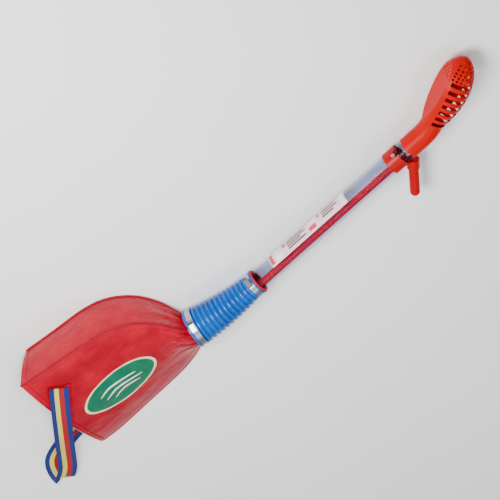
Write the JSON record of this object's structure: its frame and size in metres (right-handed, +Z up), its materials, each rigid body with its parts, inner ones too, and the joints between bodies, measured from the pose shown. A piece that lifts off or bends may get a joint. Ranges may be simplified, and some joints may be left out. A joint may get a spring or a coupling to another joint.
{
  "type": "handheld salt spreader",
  "caption": "Shoulder-worn hand spreader: cloth bag, flexible hose, clear pipe with a turning side grip that works a dosing rod, and a curved slotted head.",
  "frame": {"origin": "centre of the bounding box, on the floor the bag lies on", "axes": "+X along the pipe towards the head, +Y towards the side the head curves to, +Z up"},
  "size_m": [1.2542, 0.3297, 0.1043],
  "materials": {
    "bag_cloth": "glossy coated cloth",
    "bag_welt": "satin",
    "badge_cream": "satin",
    "badge_green": "satin",
    "webbing": "woven stripes",
    "hose_blue": "glossy",
    "ring_grey": "satin",
    "steel": "brushed",
    "clear_pvc": "clear",
    "label_pink": "printed film",
    "red_plastic": "glossy",
    "head_plastic": "glossy"
  },
  "bodies": {
    "bag": {"bag_back": "bag_cloth", "bag_front": "bag_cloth", "bag_gusset": "bag_cloth", "mouth_hem": "bag_welt", "welt_front": "bag_welt", "welt_back": "bag_welt", "bag_neck": "bag_cloth", "neck_ring": "ring_grey", "badge_border": "badge_cream", "badge_face": "badge_green", "strap": "webbing", "strap_patch_front": "bag_welt", "strap_patch_back": "bag_welt", "cuff_lower": "hose_blue", "clamp_band_lower": "steel", "clamp_box_lower": "steel", "clamp_screw_lower": "steel", "bellows_lower": "hose_blue"},
    "hose_middle": {"bellows_mid": "hose_blue"},
    "pipe_unit": {"bellows_upper": "hose_blue", "cuff_upper": "hose_blue", "clamp_band_upper": "steel", "clamp_box_upper": "steel", "clamp_screw_upper": "steel", "adapter": "red_plastic", "pipe": "clear_pvc", "dose_plate": "ring_grey", "pipe_label": "label_pink"},
    "grip_unit": {"grip_collar": "red_plastic", "grip_peg": "red_plastic", "grip_cap": "red_plastic", "link_screw": "steel", "rod_carrier": "red_plastic", "dose_rod": "red_plastic", "shutter": "red_plastic"},
    "head": {"head_shell": "head_plastic", "head_face": "head_plastic"}
  },
  "joints": [
    {"name": "hose_swing", "type": "hinge", "parent": "bag", "child": "hose_middle", "pos_m": [-0.14559, -0.05099, 0.042], "axis": [0, 0, 1], "range_deg": [-30, 30], "stiffness_Nm_per_rad": 8, "deforming": ["bellows_lower"]},
    {"name": "hose_lift", "type": "hinge", "parent": "hose_middle", "child": "pipe_unit", "pos_m": [-0.07623, -0.0591, 0.042], "axis": [0, -1, 0], "range_deg": [-25, 35], "stiffness_Nm_per_rad": 8, "deforming": ["bellows_upper"]},
    {"name": "grip_turn", "type": "hinge", "parent": "pipe_unit", "child": "grip_unit", "pos_m": [0.363, -0.06, 0.042], "axis": [1, 0, 0], "range_deg": [-60, 0]},
    {"name": "head_twist", "type": "hinge", "parent": "pipe_unit", "child": "head", "pos_m": [0.414, -0.06, 0.042], "axis": [1, 0, 0], "range_deg": [-90, 90]}
  ]
}
